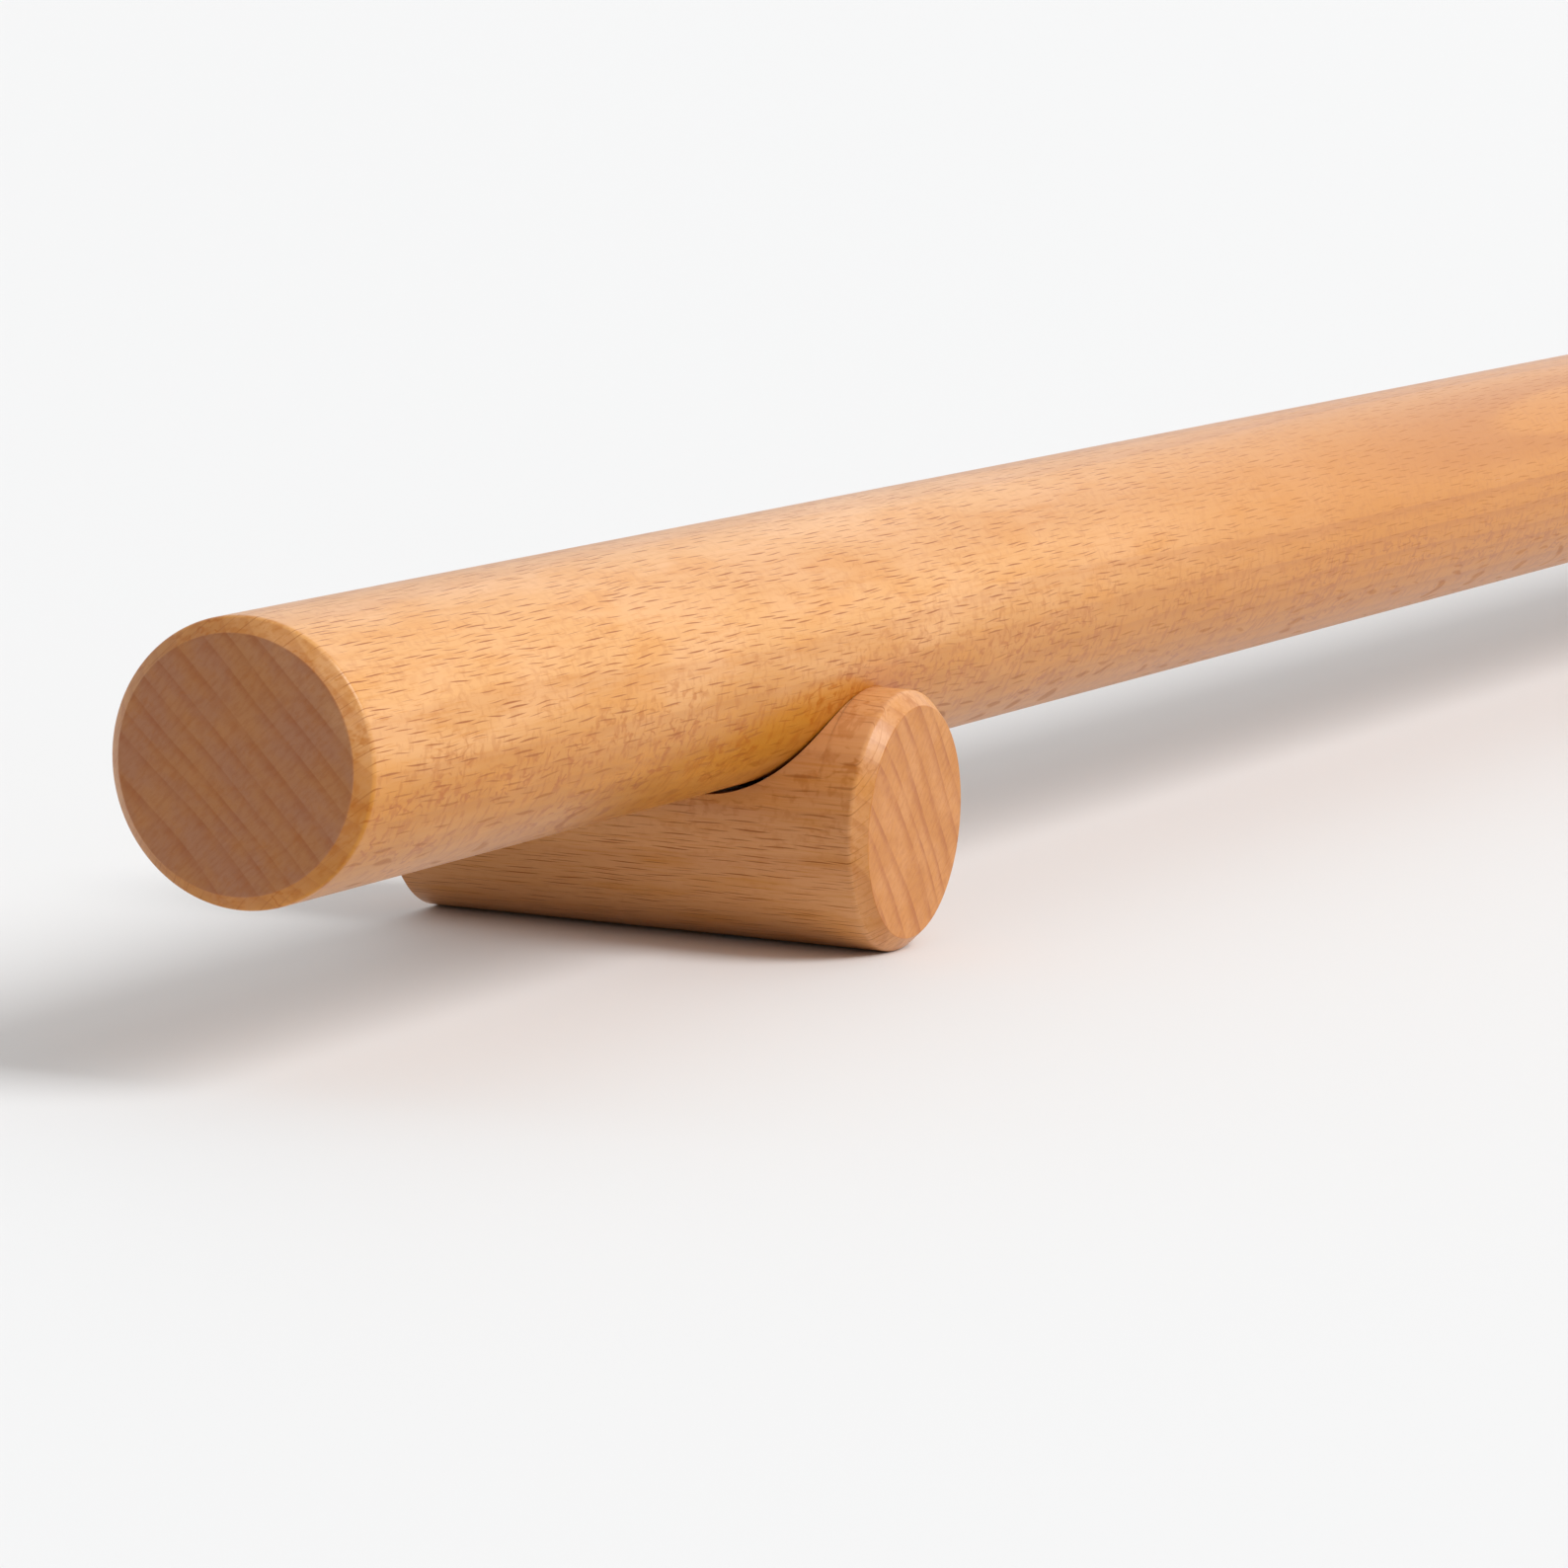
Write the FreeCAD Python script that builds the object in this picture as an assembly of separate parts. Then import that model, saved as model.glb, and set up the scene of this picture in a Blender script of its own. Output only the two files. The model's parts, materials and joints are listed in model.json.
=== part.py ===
"""Handrail in beech: a round rail seated in two round pegs cut from the same bar.

Each peg is fixed by its back end, and the rail lies across it in a milled saddle.
One screw, sunk into the peg's underside, draws the rail down into each saddle.

Frame, in millimetres: X along the rail, +Y towards the pegs' back ends, +Z up. The origin is on
the surface that the pegs rest on, halfway along the rail and halfway along the pegs.
"""

import FreeCAD
import Part

import math
import os

from FreeCAD import Vector

# Rail
rail_diameter = 45.0
rail_length = 1200.0
rail_end_chamfer = 2.5
rail_face_ease = 0.5
rail_shoulder_ease = 1.5

# Pegs
peg_diameter = 45.0
peg_length = 90.0
peg_front_reach = 31.0
peg_inset = 190.0
peg_front_chamfer = 2.5
peg_shoulder_ease = 1.5

# Saddle: its cutter runs a little low, so the rail bears on the two lips and clears the bottom
rail_rise = 28.0
saddle_bottom_gap = 0.9
saddle_lip_clearance = 0.05

# Fixing: blind hole on the peg's axis, from its back end, for a hanger bolt
wall_hole_diameter = 7.0
wall_hole_depth = 45.0
wall_hole_drill_angle = 118.0

# Screw that holds the rail down, and the holes that it runs in
screw_length = 50.0
screw_diameter = 5.0
screw_head_diameter = 9.6
screw_head_cone_angle = 90.0
screw_head_rim = 0.8
screw_tip_length = 7.0
screw_tip_diameter = 0.6
screw_sink_depth = 6.0
screw_bore_diameter = 5.6
screw_recess_diameter = 11.0
screw_fit_clearance = 0.05

# Places that follow from the sizes above
rail_radius = rail_diameter / 2
peg_radius = peg_diameter / 2
peg_front_y = -peg_length / 2
peg_wall_y = peg_length / 2
peg_axis_z = peg_radius
rail_axis_y = peg_front_y + peg_front_reach
rail_axis_z = peg_axis_z + rail_rise
peg_places = {"left": -rail_length / 2 + peg_inset, "right": rail_length / 2 - peg_inset}
sides = ("left", "right")

ALONG_RAIL = Vector(1, 0, 0)
TO_WALL = Vector(0, 1, 0)
UP = Vector(0, 0, 1)


def circles_at(solid, axis_name, places):
    """Circular edges of a turned solid whose centre lies at one of these places along an axis."""
    found = []
    for edge in solid.Edges:
        if not isinstance(edge.Curve, Part.Circle):
            continue
        place = getattr(edge.Curve.Center, axis_name)
        if any(math.isclose(place, wanted, abs_tol=1e-6) for wanted in places):
            found.append(edge)
    return found


def turned(outline, base, direction):
    """Solid turned about a line, from (distance along it, radius) pairs that start and end on it."""
    points = [Vector(radius, 0, along) for along, radius in outline]
    wire = Part.makePolygon(points + [points[0]])
    solid = Part.Face(wire).revolve(Vector(0, 0, 0), UP, 360)
    solid.Placement = FreeCAD.Placement(base, FreeCAD.Rotation(UP, direction))
    return solid


def make_rail():
    """Round bar with both ends chamfered and the arrises eased, drilled for the two screws."""
    outline = [
        (0, 0),
        (0, rail_radius - rail_end_chamfer),
        (rail_end_chamfer, rail_radius),
        (rail_length - rail_end_chamfer, rail_radius),
        (rail_length, rail_radius - rail_end_chamfer),
        (rail_length, 0),
    ]
    end_x = rail_length / 2
    bar = turned(outline, Vector(-end_x, rail_axis_y, rail_axis_z), ALONG_RAIL)
    shoulder_x = end_x - rail_end_chamfer
    bar = bar.makeFillet(rail_shoulder_ease, circles_at(bar, "x", (-shoulder_x, shoulder_x)))
    bar = bar.makeFillet(rail_face_ease, circles_at(bar, "x", (-end_x, end_x)))
    for side in sides:
        bar = bar.cut(turned(screw_outline(screw_fit_clearance), screw_foot(side), UP))
    return bar


def saddle_cutter(peg_x):
    """Round cutter along the rail that touches the rail's lips and leaves the gap under it.

    The gap at an angle below level is growth + drop * sin(angle). It is the lip clearance
    where the peg's top line meets the rail, and the bottom gap straight below the rail.
    """
    lip_sine = (rail_rise - peg_radius) / rail_radius
    drop = (saddle_bottom_gap - saddle_lip_clearance) / (1 - lip_sine)
    growth = saddle_bottom_gap - drop
    start = Vector(peg_x - peg_diameter, rail_axis_y, rail_axis_z - drop)
    return Part.makeCylinder(rail_radius + growth, 2 * peg_diameter, start, ALONG_RAIL)


def make_peg(side):
    """Short round bar with its front edge chamfered, the saddle, the fixing hole and the screw hole."""
    peg_x = peg_places[side]
    foot = Vector(peg_x, peg_front_y, peg_axis_z)
    peg = Part.makeCylinder(peg_radius, peg_length, foot, TO_WALL)
    peg = peg.makeChamfer(peg_front_chamfer, circles_at(peg, "y", (peg_front_y,)))
    shoulder_y = peg_front_y + peg_front_chamfer
    peg = peg.makeFillet(peg_shoulder_ease, circles_at(peg, "y", (shoulder_y,)))
    peg = peg.cut(saddle_cutter(peg_x))
    peg = peg.cut(wall_hole(peg_x))
    return peg.cut(screw_hole(side))


def wall_hole(peg_x):
    """Drilled blind hole on the peg's axis, open at its back end, with the drill's point at the bottom."""
    radius = wall_hole_diameter / 2
    point = radius / math.tan(math.radians(wall_hole_drill_angle / 2))
    outline = [
        (0, 0),
        (0, radius),
        (wall_hole_depth, radius),
        (wall_hole_depth + point, 0),
    ]
    return turned(outline, Vector(peg_x, peg_wall_y, peg_axis_z), -TO_WALL)


def screw_foot(side):
    """Middle of the screw head's face, sunk into the peg's underside below the rail's axis."""
    return Vector(peg_places[side], rail_axis_y, screw_sink_depth)


def screw_head_height():
    """Height of the head's cone between its rim and the shank."""
    spread = (screw_head_diameter - screw_diameter) / 2
    return spread / math.tan(math.radians(screw_head_cone_angle / 2))


def screw_outline(clearance):
    """Countersunk head, shank and point, from the head's face up, grown sideways by a clearance."""
    head = screw_head_diameter / 2 + clearance
    shank = screw_diameter / 2 + clearance
    tip = screw_tip_diameter / 2 + clearance
    neck = screw_head_rim + screw_head_height()
    return [
        (0, 0),
        (0, head),
        (screw_head_rim, head),
        (neck, shank),
        (screw_length - screw_tip_length, shank),
        (screw_length, tip),
        (screw_length + clearance, 0),
    ]


def screw_hole(side):
    """Hole up through the peg: a recess to the head's seat, a cone for the head and a clear bore."""
    recess = screw_recess_diameter / 2
    bore = screw_bore_diameter / 2
    half_angle = math.radians(screw_head_cone_angle / 2)
    head = screw_head_diameter / 2
    seat = screw_sink_depth + screw_head_rim - (recess - head) / math.tan(half_angle)
    outline = [
        (-peg_radius, 0),
        (-peg_radius, recess),
        (seat, recess),
        (seat + (recess - bore) / math.tan(half_angle), bore),
        (rail_axis_z, bore),
        (rail_axis_z, 0),
    ]
    return turned(outline, Vector(peg_places[side], rail_axis_y, 0), UP)


def make_screw(side):
    """Countersunk wood screw, plain, at its seat in the peg and run up into the rail."""
    return turned(screw_outline(0), screw_foot(side), UP)


def main():
    os.makedirs("parts", exist_ok=True)
    pieces = {"rail": make_rail()}
    for side in sides:
        pieces[f"wall_peg_{side}"] = make_peg(side)
        pieces[f"rail_screw_{side}"] = make_screw(side)
    for name, solid in pieces.items():
        assert solid.isValid() and len(solid.Solids) == 1, name
        solid.exportStep(f"parts/{name}.step")
        print(f"{name}: {solid.Volume / 1000:.1f} cm3, {len(solid.Faces)} faces")


main()
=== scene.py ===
# %% [markdown]
# # A beech handrail on two round pegs
# The object is a round beech rail that lies across two short round pegs, in a saddle milled across each
# one. The imported solids hold every size, so they are loaded first, and each surface below is worked out
# again from their boxes, fine enough for close views.

# %% Load the solids
import json
import math
from collections import namedtuple

import bmesh
import bpy
import numpy as np
from mathutils import Matrix, Vector


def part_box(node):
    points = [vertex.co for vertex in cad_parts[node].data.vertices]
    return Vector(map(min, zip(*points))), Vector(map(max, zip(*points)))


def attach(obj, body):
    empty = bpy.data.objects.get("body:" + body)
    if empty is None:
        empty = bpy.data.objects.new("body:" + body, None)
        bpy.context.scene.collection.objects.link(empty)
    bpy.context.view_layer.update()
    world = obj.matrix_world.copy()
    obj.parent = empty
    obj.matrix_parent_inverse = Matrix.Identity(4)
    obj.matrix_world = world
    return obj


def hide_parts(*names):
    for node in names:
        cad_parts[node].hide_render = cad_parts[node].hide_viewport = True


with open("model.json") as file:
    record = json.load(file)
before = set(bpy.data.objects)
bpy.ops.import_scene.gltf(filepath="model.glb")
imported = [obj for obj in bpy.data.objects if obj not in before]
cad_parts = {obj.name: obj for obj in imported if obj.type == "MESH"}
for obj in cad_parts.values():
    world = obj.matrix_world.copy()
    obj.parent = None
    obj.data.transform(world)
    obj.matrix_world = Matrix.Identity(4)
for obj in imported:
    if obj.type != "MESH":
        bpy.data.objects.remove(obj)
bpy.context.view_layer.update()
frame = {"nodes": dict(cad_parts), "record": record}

MM = 0.001
print("solids:", sorted(frame["nodes"]))

# %% [markdown]
# ## Sizes
# A box of a solid gives its diameter, its length and its place. What a box can't show, such as an edge's
# chamfer or the gap under the rail, is written here once as a real size. Lengths are in millimetres
# until a mesh is filled, because that is how a joiner would give them.

# %% Sizes and places
sides = ("left", "right")


def span_mm(node):
    """Lowest and highest corner of a solid, in millimetres."""
    return tuple(np.array(corner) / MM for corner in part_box(node))


rail_low, rail_high = span_mm("rail")
rail_radius = (rail_high[1] - rail_low[1]) / 2
rail_y, rail_z = (rail_low[1:] + rail_high[1:]) / 2
rail_chamfer, rail_face_ease, rail_shoulder_ease = 2.5, 0.5, 1.5

peg_low, peg_high = span_mm("wall_peg_left")
peg_radius = (peg_high[0] - peg_low[0]) / 2
peg_z = peg_radius
peg_front, peg_wall = peg_low[1], peg_high[1]
peg_x = {side: sum(corner[0] for corner in span_mm(f"wall_peg_{side}")) / 2 for side in sides}
peg_chamfer, peg_face_ease, peg_shoulder_ease, peg_wall_chamfer = 2.5, 0.3, 1.5, 0.3

wall_hole = frame["record"]["mounts"][0]["dims"]
wall_hole_radius, wall_hole_depth = wall_hole["r_mm"], wall_hole["length_mm"]
drill_point_angle = 118
wall_hole_point = wall_hole_radius / math.tan(math.radians(drill_point_angle / 2))

screw_low, screw_high = span_mm("rail_screw_left")
screw_head_radius = (screw_high[0] - screw_low[0]) / 2
screw_radius, screw_rim, screw_tip = 2.5, 0.8, 7.0
screw_bore, screw_recess = 2.8, 5.5
pilot_radius, pilot_tip_radius, pilot_end_gap = 2.55, 0.35, 0.05
print(f"rail {2 * rail_radius:.1f} mm across, pegs {2 * peg_radius:.1f} mm across at x = {peg_x} mm")

# %% [markdown]
# ## From arrays to a mesh
# Every piece is one or more grids of points. A grid has a row for each station along the piece and a
# column for each direction round it, so its faces are all quads whose corner numbers are worked out as
# whole arrays. Where a row shrinks to a point, as in the middle of an end, its corners fall together, and
# merging them turns those quads into a clean fan of triangles. Merging also joins one grid to the next.

# %% Grids and meshes
weld_distance = 0.001
smooth_angle = math.radians(32)


def grid_quads(rows, columns, gone=None):
    """Corners of each cell of a grid that closes round its columns, without the cells marked as gone."""
    down, across = np.meshgrid(np.arange(rows - 1), np.arange(columns), indexing="ij")
    after = (across + 1) % columns
    quads = np.stack([down * columns + across, down * columns + after,
                      (down + 1) * columns + after, (down + 1) * columns + across], axis=-1)
    return quads.reshape(-1, 4) if gone is None else quads[~gone]


def make_piece(name, grids):
    """Joins grids of (points in mm, cells left out) into one closed, smooth, outward-facing mesh object."""
    points, quads, first = [], [], 0
    for grid, gone in grids:
        rows, columns = grid.shape[:2]
        points.append(grid.reshape(-1, 3))
        quads.append(grid_quads(rows, columns, gone) + first)
        first += rows * columns
    mesh = bpy.data.meshes.new(name)
    mesh.from_pydata(np.concatenate(points) * MM, [], np.concatenate(quads).tolist())
    work = bmesh.new()
    work.from_mesh(mesh)
    bmesh.ops.remove_doubles(work, verts=work.verts, dist=weld_distance * MM)
    bmesh.ops.recalc_face_normals(work, faces=work.faces)
    open_edges = sum(len(edge.link_faces) != 2 for edge in work.edges)
    work.to_mesh(mesh)
    work.free()
    mesh.shade_smooth()
    mesh.set_sharp_from_angle(angle=smooth_angle)
    piece = bpy.data.objects.new(name, mesh)
    bpy.context.scene.collection.objects.link(piece)
    mesh.calc_loop_triangles()
    print(f"{name}: {len(mesh.loop_triangles)} triangles, {open_edges} open edges")
    return piece


# %% [markdown]
# ## Outlines with rounded corners
# A turned piece is an outline carried round a line. A sharp corner never reflects light the way a sanded
# one does, so each corner of an outline is replaced by an arc that touches both of its straight runs.

# %% Rounded outlines
arc_steps = 6


def rounded(corners, radii):
    """Outline through corners, each replaced by an arc of its radius.

    At a corner that turns by an angle, the arc starts and ends radius * tan(angle / 2) from it, and its
    points lie at radius from a centre on the bisector, radius / cos(angle / 2) away from the corner.
    """
    corners = np.array(corners, float)
    pieces = [corners[:1]]
    for before, corner, after, radius in zip(corners, corners[1:], corners[2:], radii):
        arriving = (corner - before) / np.linalg.norm(corner - before)
        leaving = (after - corner) / np.linalg.norm(after - corner)
        turn = math.acos(np.clip(arriving @ leaving, -1, 1))
        inward = (leaving - arriving) / np.linalg.norm(leaving - arriving)
        centre = corner + inward * radius / math.cos(turn / 2)
        swing = np.linspace(-turn / 2, turn / 2, arc_steps + 1)[:, None]
        middle = (arriving + leaving) / np.linalg.norm(arriving + leaving)
        pieces.append(centre - radius * np.cos(swing) * inward + radius * np.sin(swing) * middle)
    return np.concatenate(pieces + [corners[-1:]])


def filled(outline, longest):
    """The same outline with points added along each run, so that none is longer than a given length."""
    runs = np.linalg.norm(np.diff(outline, axis=0), axis=1)
    counts = np.maximum(np.ceil(runs / longest).astype(int), 1)
    start = np.repeat(np.arange(len(runs)), counts)
    share = (np.arange(len(start)) - np.repeat(np.cumsum(counts) - counts, counts)) / counts[start]
    points = outline[start] + share[:, None] * (outline[start + 1] - outline[start])
    return np.concatenate([points, outline[-1:]])


print("outline tools ready")

# %% [markdown]
# ## Drilled holes in a curved face
# Each screw runs up through a peg into the rail. A hole could be cut with a Boolean, but that leaves
# long thin faces round its rim, which shade badly. Here a square window of cells is left out of the
# grid, and a second grid fills it: rings that start as the window's border and become a circle, and
# then go down the hole. The rings keep the height of the curved face that they lie on.

# %% Windows and hole rings
window_cells = 16


def window_of(grid, first_row, first_column):
    """Cells of a square window in a grid, as a mask, and its border points."""
    rows, columns = grid.shape[:2]
    gone = np.zeros((rows - 1, columns), bool)
    row = first_row + np.arange(window_cells + 1)
    column = (first_column + np.arange(window_cells + 1)) % columns
    gone[np.ix_(row[:-1], column[:-1])] = True
    patch = grid[np.ix_(row, column)]
    border = np.concatenate([patch[0, :-1], patch[:-1, -1], patch[-1, :0:-1], patch[:0:-1, 0]])
    return gone, border


def by_angle(border, axis):
    """Border points in order of their angle about a vertical axis at (x, y), and those angles."""
    angles = np.arctan2(border[:, 1] - axis[1], border[:, 0] - axis[0])
    order = np.argsort(angles)
    return border[order], angles[order]


def collar(border, angles, axis, radius, height, steps=5):
    """Rings from a border to a circle: x and y go straight from one to the other, z is the face's height."""
    circle = np.array(axis) + radius * np.stack([np.cos(angles), np.sin(angles)], axis=-1)
    share = np.linspace(0, 1, steps + 1)[:, None, None]
    flat = border[None, :, :2] * (1 - share) + circle[None] * share
    rings = np.concatenate([flat, height(flat[..., 0], flat[..., 1])[..., None]], axis=-1)
    rings[0] = border
    return rings


def shaft(angles, axis, outline):
    """Rings of a round hole about a vertical axis, from (height, radius) pairs."""
    heights, radii = np.array(outline, float).T
    x = axis[0] + radii[:, None] * np.cos(angles)
    y = axis[1] + radii[:, None] * np.sin(angles)
    return np.stack([x, y, np.broadcast_to(heights[:, None], x.shape)], axis=-1)


print(f"holes have {4 * window_cells} points round them")

# %% [markdown]
# ## The rail
# The rail is a bar turned on a lathe: flat ends, a chamfer of a few millimetres and sanded arrises. Its
# rows follow the outline from one end to the other, and its columns go round. Two windows in its
# underside open into the pilot holes, which are hidden in the saddles.

# %% Rail surface
rail_columns = 256
column_angles = 2 * np.pi * np.arange(rail_columns) / rail_columns - np.pi / 2
window_half = rail_radius * math.sin(window_cells / 2 * 2 * math.pi / rail_columns)
end_support = 0.8
rail_station = 12.0


def rail_outline():
    """(x, radius) pairs along the rail, with closely spaced stations where the screws enter."""
    low, high = rail_low[0], rail_high[0]
    flat = rail_radius - rail_chamfer
    end = rounded([(low, 0), (low, flat), (low + rail_chamfer, rail_radius), (peg_x["left"], rail_radius)],
                  [rail_face_ease, rail_shoulder_ease])[1:-1]
    end = np.concatenate([[(low, 0), (low, flat / 2), (low, flat - end_support)], end])
    marks = [end[-1, 0] + end_support]
    for side in sides:
        marks += list(peg_x[side] + window_half * np.linspace(-1, 1, window_cells + 1))
    marks.append(high + low - marks[0])
    stations = filled(np.array(marks)[:, None], rail_station)
    body = np.concatenate([stations, np.full_like(stations, rail_radius)], axis=1)
    return np.concatenate([end, body, (end * [-1, 1] + [high + low, 0])[::-1]])


def rail_underside(x, y):
    """Height of the rail's lower half above a point: the axis height less the half chord there."""
    return rail_z - np.sqrt(rail_radius ** 2 - (y - rail_y) ** 2)


def make_rail():
    """Turned surface: at station x, a circle of the outline's radius about the rail's axis."""
    outline = rail_outline()
    x, radius = outline[:, :1], outline[:, 1:]
    points = np.stack(np.broadcast_arrays(x, rail_y + radius * np.cos(column_angles),
                                          rail_z + radius * np.sin(column_angles)), axis=-1)
    left_out, holes = np.zeros((len(points) - 1, rail_columns), bool), []
    for side in sides:
        axis = (peg_x[side], rail_y)
        first_row = int(np.argmin(np.abs(outline[:, 0] - (axis[0] - window_half))))
        gone, border = window_of(points, first_row, -(window_cells // 2))
        left_out |= gone
        border, angles = by_angle(border, axis)
        tip = screw_high[2]
        hole = [(tip - screw_tip, pilot_radius), (tip, pilot_tip_radius), (tip + pilot_end_gap, 0)]
        rings = collar(border, angles, axis, pilot_radius, rail_underside)
        holes.append((np.concatenate([rings, shaft(angles, axis, hole)]), None))
    return make_piece("beech_rail", [(points, left_out)] + holes)


rail = make_rail()

# %% [markdown]
# ## The pegs
# A peg is a round bar with a saddle milled across its top. The saddle's bottom runs a little lower than
# the rail, so a thin dark line shows under the rail and closes at the two lips. To keep that edge crisp,
# the columns are moved so that one of them runs exactly along it: below the edge the columns lie on the
# bar, and above it they lie on the saddle. Before and behind the saddle the upper columns meet in one line.

# %% Saddle
rail_rise = rail_z - peg_z
bottom_gap, lip_gap = 0.9, 0.05
lip_sine = (rail_rise - peg_radius) / rail_radius
cutter_drop = (bottom_gap - lip_gap) / (1 - lip_sine)
cutter_radius = rail_radius + bottom_gap - cutter_drop
cutter_z = rail_z - cutter_drop
saddle_half = math.sqrt(cutter_radius ** 2 - (cutter_z - peg_z - peg_radius) ** 2)


def saddle_floor(x, y):
    """Height of the saddle above a point: the cutter's axis less the half chord of its circle there."""
    return cutter_z - np.sqrt(cutter_radius ** 2 - (y - rail_y) ** 2)


print(f"saddle: radius {cutter_radius:.2f} mm, {2 * saddle_half:.1f} mm wide between its lips")

# %% [markdown]
# ## Stations along a peg
# The rows of a peg's grid run from the middle of its front, over the chamfer, along the bar and through
# the saddle to the back end, and then forwards again down the hole for the bolt. In the saddle they are
# spaced by the angle round the rail, so that they are closest where the saddle is steepest.

# %% Peg stations
cap_rings, land_rows, saddle_rows, tail_rows = 6, 5, 22, 16
lower_cells, upper_cells, saddle_cells = 26, 34, 20
window_half_peg = 8.4


def ramp(start, stop, cells):
    """Evenly spaced numbers from start up to, but not including, stop."""
    return np.linspace(start, stop, cells, endpoint=False)


def peg_rows():
    """(y, share of the section's size) for each row, from the front's middle to the bolt hole's bottom."""
    flat = peg_radius - peg_chamfer
    lip = rail_y - saddle_half
    shoulder = peg_front + peg_chamfer
    edge = rounded([(peg_front, 0), (peg_front, flat), (shoulder, peg_radius), (lip, peg_radius)],
                   [peg_face_ease, peg_shoulder_ease])[1:-1]
    reach = math.asin(saddle_half / cutter_radius)
    mid = math.asin(window_half_peg / cutter_radius)
    swing = np.concatenate([ramp(-reach, -mid, saddle_rows), ramp(-mid, mid, window_cells),
                            np.linspace(mid, reach, saddle_rows + 1)])
    back = peg_wall - peg_wall_chamfer
    parts = [
        (np.full(cap_rings, peg_front), np.linspace(0, flat - end_support, cap_rings)),
        (edge[:, 0], edge[:, 1]),
        (ramp(edge[-1, 0], lip, land_rows)[1:], peg_radius),
        (rail_y + cutter_radius * np.sin(swing), peg_radius),
        (np.linspace(rail_y + saddle_half, back, tail_rows + 1)[1:], peg_radius),
        (np.full(cap_rings, peg_wall),
         np.linspace(peg_radius - peg_wall_chamfer, wall_hole_radius, cap_rings)),
        (peg_wall - np.array([0.5, 1.0]) * wall_hole_depth, wall_hole_radius),
        (np.array([peg_wall - wall_hole_depth - wall_hole_point]), 0.0),
    ]
    y = np.concatenate([part[0] for part in parts])
    size = np.concatenate([np.broadcast_to(part[1], part[0].shape) for part in parts])
    return y, size / peg_radius


print(f"{2 * (window_cells // 2 + lower_cells + upper_cells + saddle_cells)} columns round a peg")

# %% [markdown]
# ## A peg's surface
# At each station the section is a circle, or a circle with its top cut off level by the saddle. Half of it
# is worked out and mirrored. The screw's hole goes in from below as a recess, a cone and a narrow bore, and
# comes out in the saddle.

# %% Peg surface
def peg_section(y, cut):
    """One half of the section at each y, from the bottom line up the +X side to the top line.

    Up to the saddle's edge the points are on the bar: radius * (sin, -cos) of the angle from the bottom.
    Past the edge they are on the saddle, at its height, evenly spaced to the middle.
    """
    height = np.full(y.shape, peg_radius)
    height[cut] = np.minimum(saddle_floor(0, y[cut]) - peg_z, peg_radius)
    edge = np.arcsin(height / peg_radius)
    window = math.asin(window_half_peg / peg_radius)
    low = np.concatenate([ramp(0, window, window_cells // 2), ramp(window, np.pi / 2, lower_cells)])
    high = np.pi / 2 + edge[:, None] * ramp(0, 1, upper_cells)
    angle = np.concatenate([np.broadcast_to(low, (len(y), len(low))), high], axis=1)
    across = peg_radius * np.cos(edge)[:, None] * (1 - np.linspace(0, 1, saddle_cells + 1))
    x = np.concatenate([peg_radius * np.sin(angle), across], axis=1)
    z = np.concatenate([-peg_radius * np.cos(angle), np.broadcast_to(height[:, None], across.shape)], axis=1)
    return x, z


def peg_points(side):
    """Grid of the peg's points, its sections mirrored to both sides, and the first row of its windows."""
    y, size = peg_rows()
    cut = (size == 1) & (np.abs(y - rail_y) < saddle_half)
    x, z = peg_section(y, cut)
    x = np.concatenate([x, -x[:, -2:0:-1]], axis=1) * size[:, None]
    z = np.concatenate([z, z[:, -2:0:-1]], axis=1) * size[:, None]
    points = np.stack([peg_x[side] + x, np.broadcast_to(y[:, None], x.shape), peg_z + z], axis=-1)
    off_window = np.where(cut, np.abs(y - (rail_y - window_half_peg)), np.inf)
    return points, int(np.argmin(off_window))


def make_peg(side):
    """The peg's grid with windows below and in the saddle, and the screw's hole from one to the other."""
    points, first_row = peg_points(side)
    axis = (peg_x[side], rail_y)

    def underside(x, y):
        """Height of the bar's lower half above a point: the axis height less the half chord there."""
        return peg_z - np.sqrt(peg_radius ** 2 - (x - axis[0]) ** 2)

    top_column = window_cells // 2 + lower_cells + upper_cells + saddle_cells
    gone_below, below = window_of(points, first_row, -(window_cells // 2))
    gone_above, above = window_of(points, first_row, top_column - window_cells // 2)
    below, below_angles = by_angle(below, axis)
    above, above_angles = by_angle(above, axis)
    seat = screw_low[2] + screw_rim - (screw_recess - screw_head_radius)
    middle = shaft((below_angles + above_angles) / 2, axis,
                   [(seat, screw_recess), (seat + screw_recess - screw_bore, screw_bore)])
    hole = np.concatenate([collar(below, below_angles, axis, screw_recess, underside), middle,
                           collar(above, above_angles, axis, screw_bore, saddle_floor)[::-1]])
    return make_piece(f"beech_peg_{side}", [(points, gone_below | gone_above), (hole, None)])


pegs = {side: make_peg(side) for side in sides}

# %% [markdown]
# ## The screws
# A wood screw has a countersunk head with a six-lobed recess, a shank, and a thread that winds up to the
# point. All of it is one grid: the radius at a height is the outline's, plus the thread's ridge, which
# depends on the height in turns less the angle in turns. The recess's rows use a lobed radius instead.

# %% Screw surface
screw_columns, thread_stations = 48, 220
lobes, lobe_radius, lobe_depth = 6, 2.3, 0.28
recess_depth, recess_break, recess_land = 2.2, 0.15, 0.8
recess_shares = np.array([0.0, 0.85, 0.98, 1.03])
head_roundings = [0.2, 0.2, 1.0]
plain_shank, thread_pitch, thread_depth, ridge_half_width = 8.0, 2.6, 0.75, 0.22
thread_run_in, thread_run_out, last_ridge = 3.0, 0.5, 0.15


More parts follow.
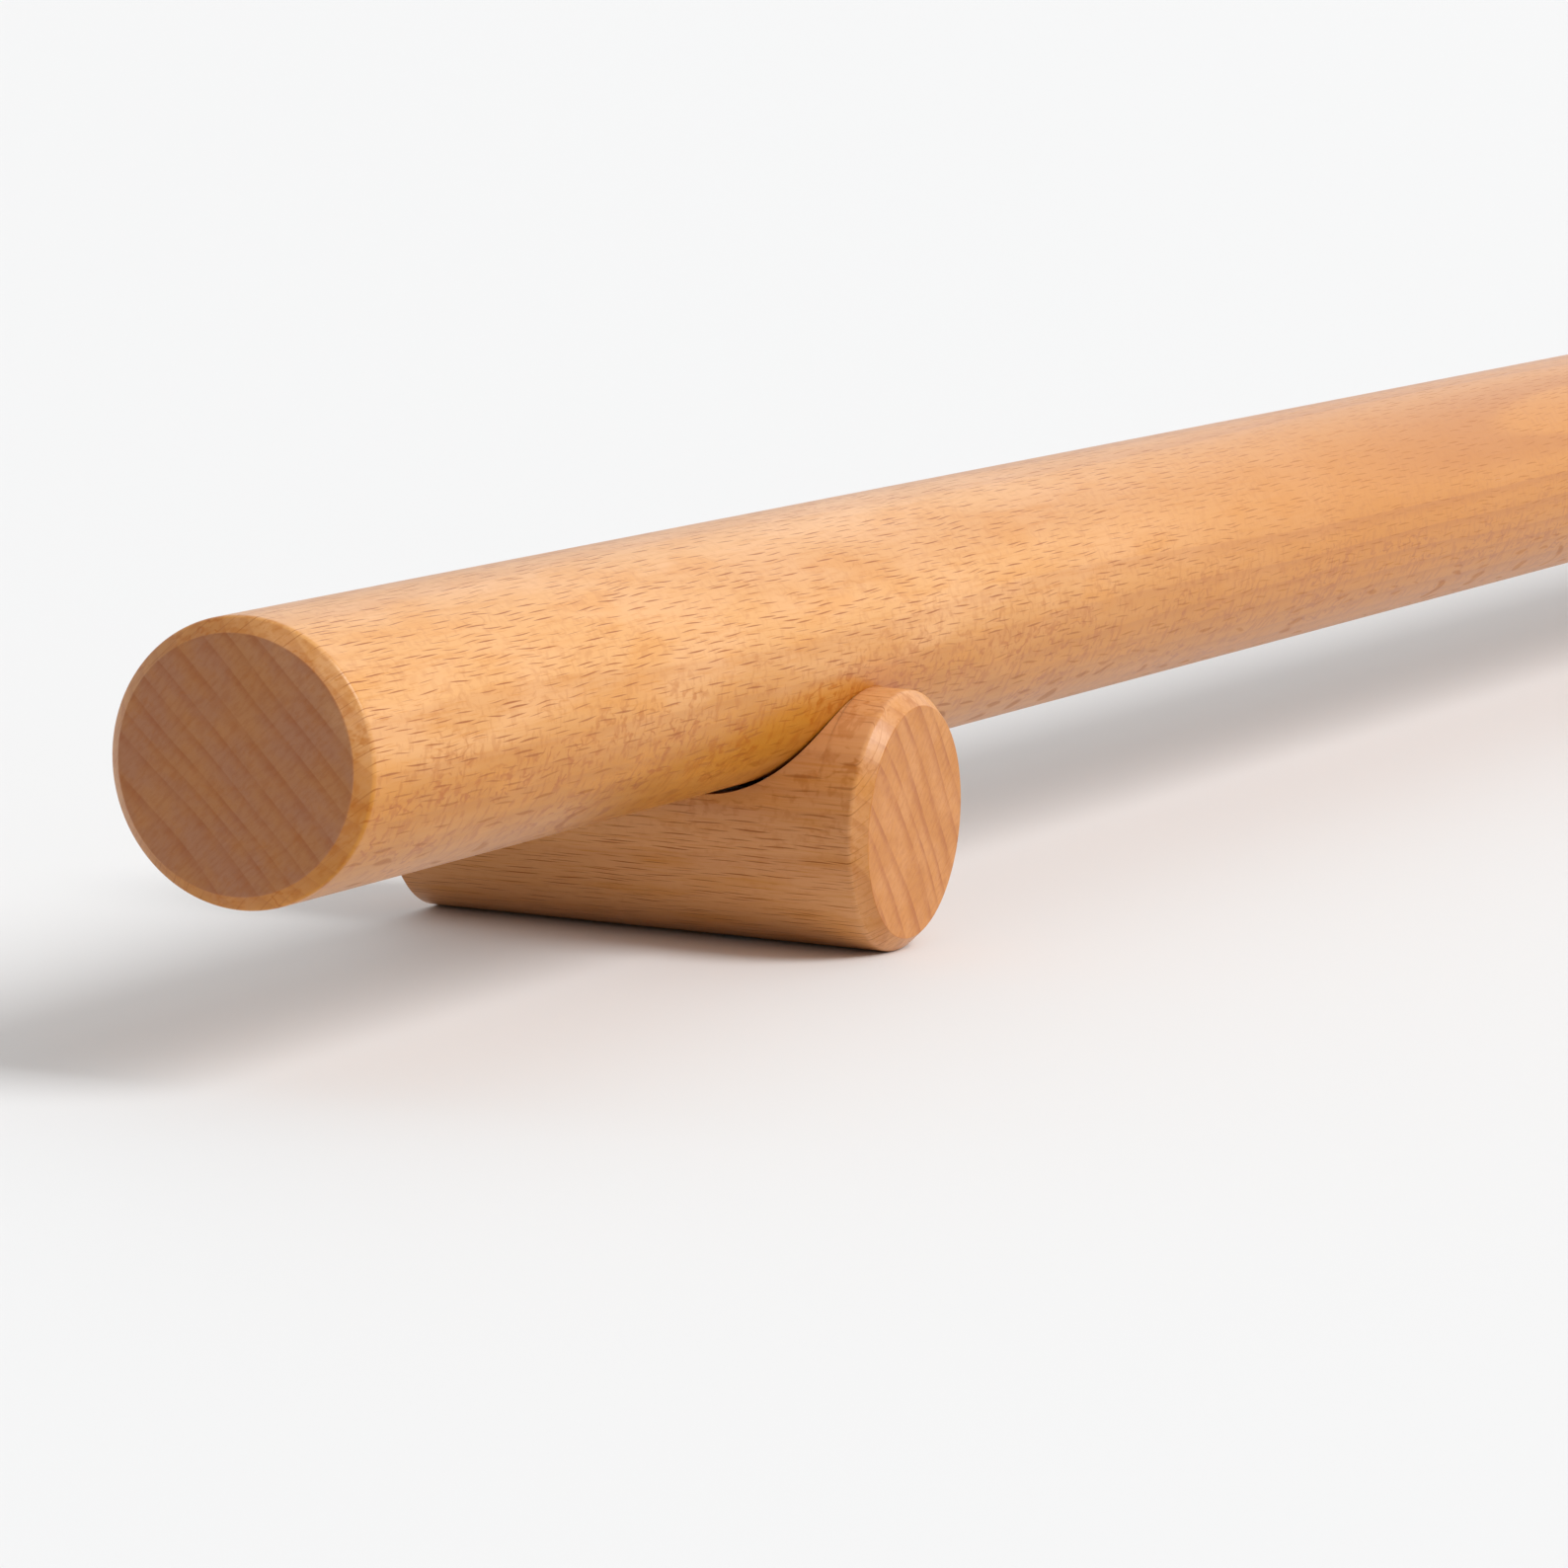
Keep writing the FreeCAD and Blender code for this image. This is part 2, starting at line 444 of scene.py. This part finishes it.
def recess_rows(angle):
    """Heights and radii of the recess: a circle plus a cosine of six times the angle, wider at its mouth."""
    lobed = lobe_radius + lobe_depth * np.cos(lobes * angle)
    return np.array([recess_depth, recess_depth, recess_break, 0.0]), recess_shares[:, None] * lobed


def thread_rows(angle, foot, length):
    """Heights and radii of the thread, from its foot on the shank to the point.

    The core tapers to nothing at the point. A ridge stands on it where the height in turns less the angle
    in turns is near a half. It grows over the run-in and shrinks towards the point.
    """
    taper = length - screw_tip
    rise = np.linspace(foot, length, thread_stations)[1:]
    core = np.interp(rise, [foot, taper, length], [1, 1, 0]) * (screw_radius - thread_depth)
    crest = np.interp(rise, [foot, foot + thread_run_in, taper, length - thread_run_out, length],
                      [0, 1, 1, last_ridge, 0]) * thread_depth
    phase = (rise[:, None] / thread_pitch - angle / (2 * np.pi)) % 1
    ridge = np.clip(1 - np.abs(phase - 0.5) / ridge_half_width, 0, 1)
    return rise, core[:, None] + crest[:, None] * ridge


def make_screw(side):
    """Screw about a vertical axis, head down, from the middle of its recess to its point."""
    angle = 2 * np.pi * np.arange(screw_columns) / screw_columns
    base, length = screw_low[2], screw_high[2] - screw_low[2]
    neck = screw_rim + screw_head_radius - screw_radius
    foot = neck + plain_shank
    recess_heights, recess_radii = recess_rows(angle)
    outline = rounded([(0, lobe_radius + recess_land), (0, screw_head_radius),
                       (screw_rim, screw_head_radius), (neck, screw_radius), (foot, screw_radius)],
                      head_roundings)
    rise, threaded = thread_rows(angle, foot, length)
    heights = base + np.concatenate([recess_heights, outline[:, 0], rise])
    radii = np.concatenate([recess_radii, np.repeat(outline[:, 1:], screw_columns, axis=1), threaded])
    points = np.stack([peg_x[side] + radii * np.cos(angle), rail_y + radii * np.sin(angle),
                       np.broadcast_to(heights[:, None], radii.shape)], axis=-1)
    return make_piece(f"steel_screw_{side}", [(points, None)])


screws = {side: make_screw(side) for side in sides}

# %% [markdown]
# ## Shader arithmetic
# A solid wood is easiest to think of as formulas: distance from the pith, place along the grain, rings
# and rays. A small class wraps a node socket, so that a formula is written as one, and each operation
# adds its Math node. One method makes every other kind of node.

# %% Wires
class Wire:
    """A node socket that takes part in Python arithmetic."""

    def __init__(self, tree, socket=None):
        self.tree = tree
        self.socket = socket

    def make(self, kind, settings=None, sockets=None, output=0):
        """New node of a kind: its settings are set first, then the value or the wire of each socket."""
        node = self.tree.nodes.new("ShaderNode" + kind)
        for key, value in (settings or {}).items():
            setattr(node, key, value)
        for key, value in (sockets or {}).items():
            if isinstance(value, Wire):
                self.tree.links.new(value.socket, node.inputs[key])
            else:
                node.inputs[key].default_value = value
        return Wire(self.tree, node.outputs[output])

    def math(self, operation, *operands):
        """One Math node on numbers or wires."""
        return self.make("Math", {"operation": operation}, dict(enumerate(operands)))

    def __add__(self, other):
        return self.math("ADD", self, other)

    def __sub__(self, other):
        return self.math("SUBTRACT", self, other)

    def __rsub__(self, other):
        return self.math("SUBTRACT", other, self)

    def __mul__(self, other):
        return self.math("MULTIPLY", self, other)

    def __truediv__(self, other):
        return self.math("DIVIDE", self, other)

    def __abs__(self):
        return self.math("ABSOLUTE", self)

    __radd__ = __add__
    __rmul__ = __mul__

    def floor(self):
        """The whole number at or under this value."""
        return self.math("FLOOR", self)

    def fract(self):
        """What is left of this value over its floor."""
        return self.math("FRACT", self)

    def smooth(self, low, high):
        """0 at low, 1 at high, and a smooth step between; high may be the smaller number."""
        return self.make("MapRange", {"interpolation_type": "SMOOTHSTEP"},
                         {"Value": self, "From Min": low, "From Max": high})

    def mix(self, first, second):
        """Colour between first and second by this value."""
        return self.make("Mix", {"data_type": "RGBA"},
                         {0: self, 6: as_colour(first), 7: as_colour(second)}, output=2)

    def vector(self, x, y, z):
        """A vector of three numbers or wires."""
        return self.make("CombineXYZ", None, {0: x, 1: y, 2: z})

    def parts(self):
        """The three numbers of a vector or colour."""
        split = self.make("SeparateXYZ", None, {0: self}).socket.node
        return [Wire(self.tree, socket) for socket in split.outputs]

    def chance(self):
        """Three random numbers from 0 to 1 for this vector, the same each time."""
        return self.make("TexWhiteNoise", None, {"Vector": self}, "Color")

    def noise(self, detail=2.0, roughness=0.5, output=0):
        """Noise read at this vector, already scaled."""
        return self.make("TexNoise", None, {"Vector": self, "Scale": 1.0, "Detail": detail,
                                            "Roughness": roughness}, output)


def as_colour(value):
    """A wire as it is, or three numbers as an opaque colour."""
    return value if isinstance(value, Wire) else (*value, 1)


def new_material(name):
    """Empty material with one Principled shader, and a wire to make nodes from."""
    material = bpy.data.materials.new(name)
    material.use_nodes = True
    tree = material.node_tree
    tree.nodes.clear()
    shader = tree.nodes.new("ShaderNodeBsdfPrincipled")
    end = tree.nodes.new("ShaderNodeOutputMaterial")
    tree.links.new(shader.outputs[0], end.inputs["Surface"])
    return material, shader, Wire(tree)


print("shader arithmetic ready")

# %% [markdown]
# ## How each bar was sawn
# A bar is sawn out of a trunk, so its grain is easiest to describe from the trunk's middle line, the pith.
# The rail was cut with the pith low behind it, so the rings lie flat along its upper front. Each peg has
# its own pith, because it is another piece of bar. The pegs' fronts show their rings more, and their sides
# have fewer flecks. The rail is paler and livelier near one end than in its middle, and its deeper middle
# and far part are partly heartwood and partly painted shade. The inner rings' colour is painted shade on the
# rail's back and underside, and painted light on each peg's inner side, which faces the shade. The rail's
# end wood is darkened partly as painted shade.

# %% Bars
Bar = namedtuple("Bar", "name turn middle pith radius ring_width ring_strength flecks "
                        "inner_wood end_wood pale_end")

rail_middle = np.array([0, rail_y, rail_z])
# The rail's inner wood darkens its back and underside, partly as painted shade, and its ramp along X deepens
# its middle and far part, partly as painted shade.
rail_bar = Bar(name="rail_beech", turn=0, middle=rail_middle, pith=rail_middle + [0, 205, -205],
               radius=rail_radius, ring_width=3.4, ring_strength=0.16, flecks=0.95,
               inner_wood=(0.520, 0.200, 0.018), end_wood=(0.402, 0.174, 0.092), pale_end=(-390, -130))


def peg_bar(side, pith):
    """A peg's bar, with its grain along Y and its pith at a place beside its middle, in mm."""
    middle = np.array([peg_x[side], 0, peg_z])
    # A peg's inner wood is lifted as painted light, because its inner side faces the shade.
    return Bar(name=f"peg_beech_{side}", turn=math.pi / 2, middle=middle, pith=middle + pith,
               radius=peg_radius, ring_width=4.6, ring_strength=0.24, flecks=0.45,
               inner_wood=(0.705, 0.338, 0.135), end_wood=(0.500, 0.184, 0.028), pale_end=(100, 200))


bars = {rail: rail_bar, pegs["left"]: peg_bar("left", [-172, 0, -140]),
        pegs["right"]: peg_bar("right", [132, 0, -172])}
print("bars:", [bar.name for bar in bars.values()])

# %% [markdown]
# ## Where a point lies in the tree
# Object coordinates are moved to the pith and turned until the grain runs along X. A point then has a
# place along the grain, a distance from the pith, and a place round the rings. The surface's normal says
# how it was cut: across the grain, flat along the rings, or through the rings towards the pith. A slow
# drift keeps the rings from being perfect circles.

# %% Grain of a bar
Grain = namedtuple("Grain", "along radius across end_grain flat_sawn outer heart")
drift_rate, drift_size = (0.006, 0.03, 0.03), (0, 3.0, 3.0)
outer_rings = (0.50, 0.97)


def grain_of(start, bar):
    """Wires that give a point's place in the tree, in mm, and how the surface there was cut, from 0 to 1.

    The radius is the root of the summed squares beside the pith, and across is the angle round the pith
    times the bar's distance from it. A face is flat-sawn as far as its normal lies along the radius.
    """
    turn = (0, 0, bar.turn)
    place = start.make("Mapping", {"vector_type": "TEXTURE"},
                       {"Vector": start.make("TexCoord", output="Object"), "Rotation": turn,
                        "Location": tuple(bar.pith * MM), "Scale": (MM, MM, MM)})
    slow = start.make("VectorMath", {"operation": "MULTIPLY"}, {0: place, 1: drift_rate})
    drifted = start.make("VectorMath", {"operation": "MULTIPLY_ADD"},
                         {0: slow.noise(1.0, output=1), 1: drift_size, 2: place})
    along, side, up = drifted.parts()
    radius = start.math("SQRT", side * side + up * up)
    distance = np.linalg.norm(bar.middle - bar.pith)
    across = start.math("ARCTAN2", up, side) * distance

    normal = start.make("Mapping", {"vector_type": "TEXTURE"},
                        {"Vector": start.make("TexCoord", output="Normal"), "Rotation": turn})
    lean, aside, above = normal.parts()
    end_grain = abs(lean).smooth(0.55, 0.95)
    flat_sawn = abs((aside * side + above * up) / radius).smooth(0.45, 0.95)
    outer = radius.smooth(*(distance + share * bar.radius for share in outer_rings))
    # The last field is partly heartwood and partly painted shade: it deepens the rail's middle and far part.
    return Grain(along, radius, across, end_grain, flat_sawn, outer, along.smooth(*bar.pale_end))


def grain_noise(grain, rates, detail=1.0, roughness=0.5, shift=0.0):
    """Noise over a point's place in the tree, at rates per mm along, outwards and round the rings."""
    along, outward, around = rates
    place = grain.along.vector(grain.along * along, grain.radius * outward, grain.across * around + shift)
    return place.noise(detail, roughness)


print("grain has", Grain._fields)

# %% [markdown]
# ## Rays
# Beech is plain but for its rays: thin plates of soft cells that reach from the pith outwards. A face cut
# along the rings shows them end on, as short dark dashes along the grain. A face cut through the pith
# shows their broad sides as flecks, and the end grain shows them as fine lines across the rings. One
# solid pattern gives all three: courses of staggered bricks with one lens-shaped ray in most of them.

# %% Ray pattern
Rays = namedtuple("Rays", "brick half share")
broad_rays = Rays(np.array([13.5, 30.0, 0.52]), np.array([4.7, 14.0, 0.160]), 0.95)
fine_rays = Rays(np.array([8.0, 16.0, 0.45]), np.array([2.9, 7.0, 0.11]), 0.75)
row_waver, row_waver_rates, row_stagger = 1.4, (0.06, 0.06, 0.20), 0.618
lens_edge, lens_shrink, lens_fade = (0.4, 1.0), 0.4, 0.35


def ray_lenses(grain, rays):
    """Rays in bricks of (length, depth, width) mm, at a random place and size in a share of the bricks.

    With u, w and v as the distances from the lens's middle along, in depth and across, each over the
    lens's half size there, u^2 + w^4 + |v| is under 1 inside the lens. The lens shrinks with its rank,
    a random number that is under 1 where there is a ray at all.
    """
    wavy = grain_noise(grain, row_waver_rates)
    row = (grain.across + (wavy - 0.5) * row_waver) / rays.brick[2]
    column = grain.along / rays.brick[0] + row.floor() * row_stagger
    offset = row.vector(row.floor(), column.floor(), 0.5).chance().parts()[0]
    layer = grain.radius / rays.brick[1] + offset
    shift, lift, size = row.vector(column.floor(), layer.floor(), row.floor()).chance().parts()
    reach = rays.brick / rays.half
    room = 1 - 2 / reach
    u = (column.fract() - 0.5 - (shift - 0.5) * room[0]) * reach[0]
    w = (layer.fract() - 0.5) * reach[1]
    v = (row.fract() - 0.5 - (lift - 0.5) * room[2]) * reach[2]
    inside = u * u + w * w * w * w + abs(v)
    rank = size / rays.share
    lens = 1 - (inside / (1 - lens_shrink * rank)).smooth(*lens_edge)
    return lens * (1 - lens_fade * rank) * rank.smooth(1.05, 0.95)


print(f"one broad ray in {np.prod(broad_rays.brick[[0, 2]]) / broad_rays.share:.1f} mm2")

# %% [markdown]
# ## Flecks
# Where a face is cut towards the pith, the rays lie in it and catch the light as small curled flecks and
# golden spots. Drawing each one would take a shape of its own. A noise already has such curls in it: they
# are the thin bands where it passes through its middle value, and the spots are where it is highest. The
# bands join into a net, so a finer noise breaks them up into short curls.

# %% Fleck pattern
curl_rates, curl_cut_rates, curl_patch_rates = (0.25, 0.5, 0.5), (0.35, 0.6, 1.1), (0.05, 0.15, 0.15)
curl_band, curl_cut_edge, curl_patch_edge = (0.02, 0.08), (0.46, 0.58), (0.42, 0.58)
spot_rates, spot_edge = (0.6, 0.30, 0.6), (0.50, 0.66)


def curled_flecks(grain):
    """Curls from 0 to 1: where a noise is near its middle value, cut by a finer noise and in patches."""
    band = 1 - abs(grain_noise(grain, curl_rates) - 0.5).smooth(*curl_band)
    cuts = grain_noise(grain, curl_cut_rates, shift=20)
    patch = grain_noise(grain, curl_patch_rates)
    return band * cuts.smooth(*curl_cut_edge) * patch.smooth(*curl_patch_edge)


def golden_spots(grain):
    """Spots from 0 to 1, where a noise is high."""
    return grain_noise(grain, spot_rates, 2.0).smooth(*spot_edge)


print("flecks ready")

# %% [markdown]
# ## The ground under the figure
# Under the rays, beech is a warm, cloudy colour: paler in the outer rings, which run along the rail's upper
# front, and at the rail's near end, with honey patches and fine streaks along the grain. The pale and pink
# woods are whitened partly as painted sheen, and the rail goes deeper further from its near end, partly as
# painted shade. The end grain soaks up more lacquer, in patches, so it is browner, and the rail's end is
# darkened further, partly as painted shade. The layers go on one over the other, as a grainer would paint
# them, each by a mask.

# %% Beech ground
# The pale and pink woods are whitened partly as painted sheen, in place of the lacquer's reflection. The
# deep wood is also painted shade along the rail's middle.
light_wood_and_sheen = (0.692, 0.342, 0.114)
pink_wood_and_sheen = (0.722, 0.372, 0.150)
honey_wood = (0.640, 0.252, 0.026)
deep_wood_and_shade = (0.550, 0.196, 0.008)
cloud_rates, patch_rates, soak_rates = (0.030, 0.14, 0.14), (0.045, 0.20, 0.20), (0.02, 0.16, 0.10)


def beech_ground(grain, bar, streak):
    """Colour under the figure: outer rings, clouds, patches, the deeper middle, streaks and end grain, with
    painted light: the outer rings are partly painted sheen, the rail's inner rings and deeper middle partly
    painted shade, the pegs' inner rings painted light, and the rail's end wood partly painted shade.
    """
    cloud = grain_noise(grain, cloud_rates, 2.0).smooth(0.42, 0.66)
    patch = grain_noise(grain, patch_rates, 2.0, shift=40).smooth(0.48, 0.70)
    # The outer rings are partly painted sheen. The inner rings are painted shade on the rail and painted
    # light on the pegs.
    colour = grain.outer.mix(bar.inner_wood, light_wood_and_sheen)
    colour = (cloud * (0.15 + 0.65 * grain.outer)).mix(colour, pink_wood_and_sheen)
    colour = (patch * 0.4).mix(colour, honey_wood)
    # Partly painted shade: the rail's middle and far part go deeper.
    colour = (grain.heart * 0.85).mix(colour, deep_wood_and_shade)
    colour = (streak.smooth(0.45, 0.80) * 0.40).mix(colour, deep_wood_and_shade)
    soaked = grain_noise(grain, soak_rates, 3.0).smooth(0.35, 0.65)
    # On the rail's end, the end wood is partly painted shade.
    return (grain.end_grain * (0.62 + 0.28 * soaked)).mix(colour, bar.end_wood)


print(f"ground of {light_wood_and_sheen}, {pink_wood_and_sheen}, {honey_wood} and {deep_wood_and_shade}")

# %% [markdown]
# ## Rings
# A tree grows a ring a year, and the dense late wood at the end of each ring is darker. The end grain shows
# the rings as lines across the bar, and a long face shows them faintly. A noise makes some years wider than
# others. On the end grain a second noise breaks the lines, and a third gives short marks across them, where
# the rays come out.

# %% Ring pattern
wander_rates, wander_size = (0.004, 0.12, 0.01), 1.8
broken_rates, mark_rates = (0.02, 0.35, 0.16), (0.2, 0.45, 1.3)
late_start, late_end = 0.45, 0.94


def late_wood(grain, bar):
    """Late wood from 0 to 1, and as strong as it shows on each cut.

    A ring is a saw tooth of the radius over the ring width: it darkens slowly and ends at once.
    """
    wander = grain_noise(grain, wander_rates, 0.0)
    tooth = (grain.radius / bar.ring_width + (wander - 0.5) * wander_size).fract()
    late = tooth.smooth(late_start, late_end) * (1 - tooth.smooth(late_end, 1.0))
    broken = grain_noise(grain, broken_rates, 2.0).smooth(0.35, 0.65)
    end_rings = grain.end_grain * bar.ring_strength * (0.35 + 1.3 * broken)
    return late * (0.12 + 0.12 * grain.heart + end_rings)


def end_marks(grain):
    """Short marks from 0 to 1 on the end grain, where a noise drawn out along the radius is high."""
    return grain_noise(grain, mark_rates, 3.0).smooth(0.42, 0.68) * grain.end_grain


print(f"rings {rail_bar.ring_width} mm wide in the rail")

# %% [markdown]
# ## Beech under lacquer
# Over the ground come the dark late wood of each ring, the flecks where the rings were cut through, and
# the rays on top. The lacquer is a satin gloss, a little duller on the rays and the end grain, which take
# it up, and it lets a little of the grain's relief through.

# %% Beech finish
ring_brown = (0.300, 0.058, 0.002)
fleck_gold = (0.420, 0.118, 0.003)
ray_brown = (0.290, 0.070, 0.003)
streak_rates = (0.05, 1.5, 1.5)
lacquer_gloss, lacquer_sheen = 0.26, 0.26
relief_strength, relief_depth = 0.10, 0.15


def beech_figure(grain, bar, colour, broad, fine):
    """The ground's colour with rings, flecks and rays over it, each as strong as the cut shows it."""
    side_grain = 1 - grain.end_grain * 0.85
    to_pith = (1 - grain.flat_sawn * 0.8) * side_grain
    lively = (1 - 0.55 * grain.heart) * side_grain
    colour = late_wood(grain, bar).mix(colour, ring_brown)
    colour = (end_marks(grain) * 0.20).mix(colour, ring_brown)
    colour = (fine * (0.15 + 0.35 * grain.flat_sawn) * lively).mix(colour, deep_wood_and_shade)
    colour = (golden_spots(grain) * to_pith * bar.flecks * 0.65).mix(colour, fleck_gold)
    colour = (curled_flecks(grain) * to_pith * bar.flecks).mix(colour, fleck_gold)
    return (broad * (0.50 + 0.40 * grain.flat_sawn) * lively).mix(colour, ray_brown)


def beech(bar):
    """Lacquered beech for a bar: the figure's colour, a satin gloss and a low relief."""
    material, shader, start = new_material(bar.name)
    grain = grain_of(start, bar)
    broad, fine = ray_lenses(grain, broad_rays), ray_lenses(grain, fine_rays)
    streak = grain_noise(grain, streak_rates, 3.0, 0.6)
    ground = beech_ground(grain, bar, streak)
    colour = beech_figure(grain, bar, ground, broad, fine)
    gloss = lacquer_gloss + broad * 0.12 + grain.end_grain * 0.06 + streak * 0.06
    relief = streak * 0.25 - broad * 0.6 - fine * 0.2
    bump = start.make("Bump", None, {"Strength": relief_strength, "Distance": relief_depth * MM,
                                     "Height": relief})
    for socket, wire in (("Base Color", colour), ("Roughness", gloss), ("Normal", bump)):
        start.tree.links.new(wire.socket, shader.inputs[socket])
    shader.inputs["Specular IOR Level"].default_value = lacquer_sheen
    return material


finishes = {piece: beech(bar) for piece, bar in bars.items()}
print("beech on", [piece.name for piece in finishes])

# %% [markdown]
# ## Zinc-plated steel
# The screws are plated bright and sit deep in their recesses. A little cloudiness in the plating keeps
# their faces from looking like a mirror.

# %% Screw finish
dull_zinc, bright_zinc = (0.60, 0.60, 0.58), (0.74, 0.73, 0.70)
zinc_cloud_rate = 900.0
zinc_gloss, zinc_gloss_range = 0.22, 0.2


def zinc():
    """Plated steel: metallic, with a cloudy colour and roughness."""
    material, shader, start = new_material("zinc_plating")
    place = start.make("TexCoord", output="Object")
    cloud = start.make("VectorMath", {"operation": "SCALE"}, {0: place, "Scale": zinc_cloud_rate}).noise(3.0)
    start.tree.links.new(cloud.mix(dull_zinc, bright_zinc).socket, shader.inputs["Base Color"])
    start.tree.links.new((zinc_gloss + cloud * zinc_gloss_range).socket, shader.inputs["Roughness"])
    shader.inputs["Metallic"].default_value = 1.0
    return material


plating = zinc()
finishes.update({screw: plating for screw in screws.values()})
print("zinc on", [screw.name for screw in screws.values()])

# %% [markdown]
# ## Fitting the pieces to the frame
# Each surface stands for the solid that it was worked out from, which is hidden, and rides on the one body
# there is. The record's slot for its finish is listed beside it, but not used.

# %% Pieces on the frame
stands_for = {rail: ("rail", "rail_beech")}
for side in sides:
    stands_for[pegs[side]] = (f"wall_peg_{side}", "peg_beech")
    stands_for[screws[side]] = (f"rail_screw_{side}", "screw_steel")
for piece, (node, slot) in stands_for.items():
    piece.data.materials.append(finishes[piece])
    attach(piece, "root")
    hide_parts(node)
print("pieces:", {piece.name: node for piece, (node, slot) in stands_for.items()})

# %% [markdown]
# ## Floor
# The part stands on its pegs on a plain pale floor. A wide disc has no edge in sight from any side, and
# its rings are closest in the middle, where the shadows fall.

# %% Pale floor
floor_rings = np.array([0.0, 0.5, 2.0, 8.0, 40.0]) / MM
floor_columns = 96
floor_white, floor_roughness = (0.755, 0.758, 0.760), 0.7


def make_floor():
    """Flat disc at the height that the pegs rest on: circles of the rings' radii."""
    angle = np.linspace(0, 2 * np.pi, floor_columns, endpoint=False)
    reach = floor_rings[:, None]
    x, y = reach * np.cos(angle), reach * np.sin(angle)
    floor = make_piece("floor", [(np.stack([x, y, np.zeros_like(x)], axis=-1), None)])
    material, shader, start = new_material("pale_floor")
    shader.inputs["Base Color"].default_value = as_colour(floor_white)
    shader.inputs["Roughness"].default_value = floor_roughness
    floor.data.materials.append(material)


make_floor()

# %% [markdown]
# ## Light
# A photographer would light this with a large soft lamp before and above the rail in a white room. Lamps
# near the object would show as hard shapes in the lacquer, so the room is a world that is bright behind
# and to the right and dim to the left, which leaves soft shade on the faces that look that way. One wide
# sun gives the form.

# %% Studio light
bright_side, dim_side, window_glow = 0.85, 0.33, 0.30
bright_way, bright_edges = (1, 0.3, 0), (-0.9, 0.3)
window_way, window_edges = (0.93, -0.06, 0.36), (0.80, 0.97)
sun_strength, sun_spread, sun_from = 2.3, math.radians(30), (0.14, -0.69, 0.71)


def light_room():
    """World whose level follows the dot products of the view direction with two others, and one sun."""
    world = bpy.data.worlds.new("studio")
    bpy.context.scene.world = world
    world.use_nodes = True
    tree = world.node_tree
    tree.nodes.clear()
    start = Wire(tree)
    direction = start.make("TexCoord", output="Generated")

    def towards(way):
        """How far the view direction points along a way."""
        return start.make("VectorMath", {"operation": "DOT_PRODUCT"}, {0: direction, 1: way}, "Value")

    room = towards(bright_way).smooth(*bright_edges) * (bright_side - dim_side)
    level = dim_side + room + towards(window_way).smooth(*window_edges) * window_glow
    grey = start.make("CombineColor", None, {0: level, 1: level, 2: level})
    glow = start.make("Background", None, {"Color": grey, "Strength": 1.0})
    tree.links.new(glow.socket, tree.nodes.new("ShaderNodeOutputWorld").inputs["Surface"])
    sun = bpy.data.lights.new("key", "SUN")
    sun.energy, sun.angle = sun_strength, sun_spread
    key = bpy.data.objects.new("key", sun)
    key.matrix_world = Vector(sun_from).to_track_quat("Z", "Y").to_matrix().to_4x4()
    bpy.context.scene.collection.objects.link(key)


light_room()
bpy.context.scene.view_settings.view_transform = "Standard"
print(f"room from {dim_side} to {bright_side}, sun of {sun_strength} from {sun_from}")

# %% [markdown]
# ## Camera
# The camera looks along the rail from before its near end, as the photograph does. A long lens from about
# 1.2 m keeps the rail from tapering too fast. The aim point sets what lies in the middle of the picture,
# so the lens needs no shift.

# %% Camera at the photograph's angle
near_end = Vector((rail_low[0], rail_y, rail_z))
camera_eye = (near_end + Vector((-1049.3, -555.6, 163.9))) * MM
camera_aim = (near_end + Vector((235.6, 14.0, -30.5))) * MM
camera_roll = math.radians(2.0)
camera_lens, camera_sensor, camera_sight = 182.5, 36.0, 200.0


def place_camera():
    """Camera at its eye point, looking at its aim point, with its right side raised by the roll."""
    data = bpy.data.cameras.new("camera")
    data.lens, data.sensor_width, data.sensor_fit = camera_lens, camera_sensor, "HORIZONTAL"
    data.clip_end = camera_sight
    forward = (camera_aim - camera_eye).normalized()
    level = forward.cross(Vector((0, 0, 1))).normalized()
    right = level * math.cos(camera_roll) + level.cross(forward) * math.sin(camera_roll)
    turn = Matrix((right, right.cross(forward), -forward)).transposed()
    camera = bpy.data.objects.new("camera", data)
    camera.matrix_world = Matrix.Translation(camera_eye) @ turn.to_4x4()
    bpy.context.scene.collection.objects.link(camera)
    bpy.context.scene.camera = camera


place_camera()
print(f"camera {(camera_aim - camera_eye).length:.2f} m from its aim point")

# %% [markdown]
# ## The end
# The pieces have to fill the same box as the solids. The last step only brings the scene up to date.

# %% Finish
bpy.context.view_layer.update()
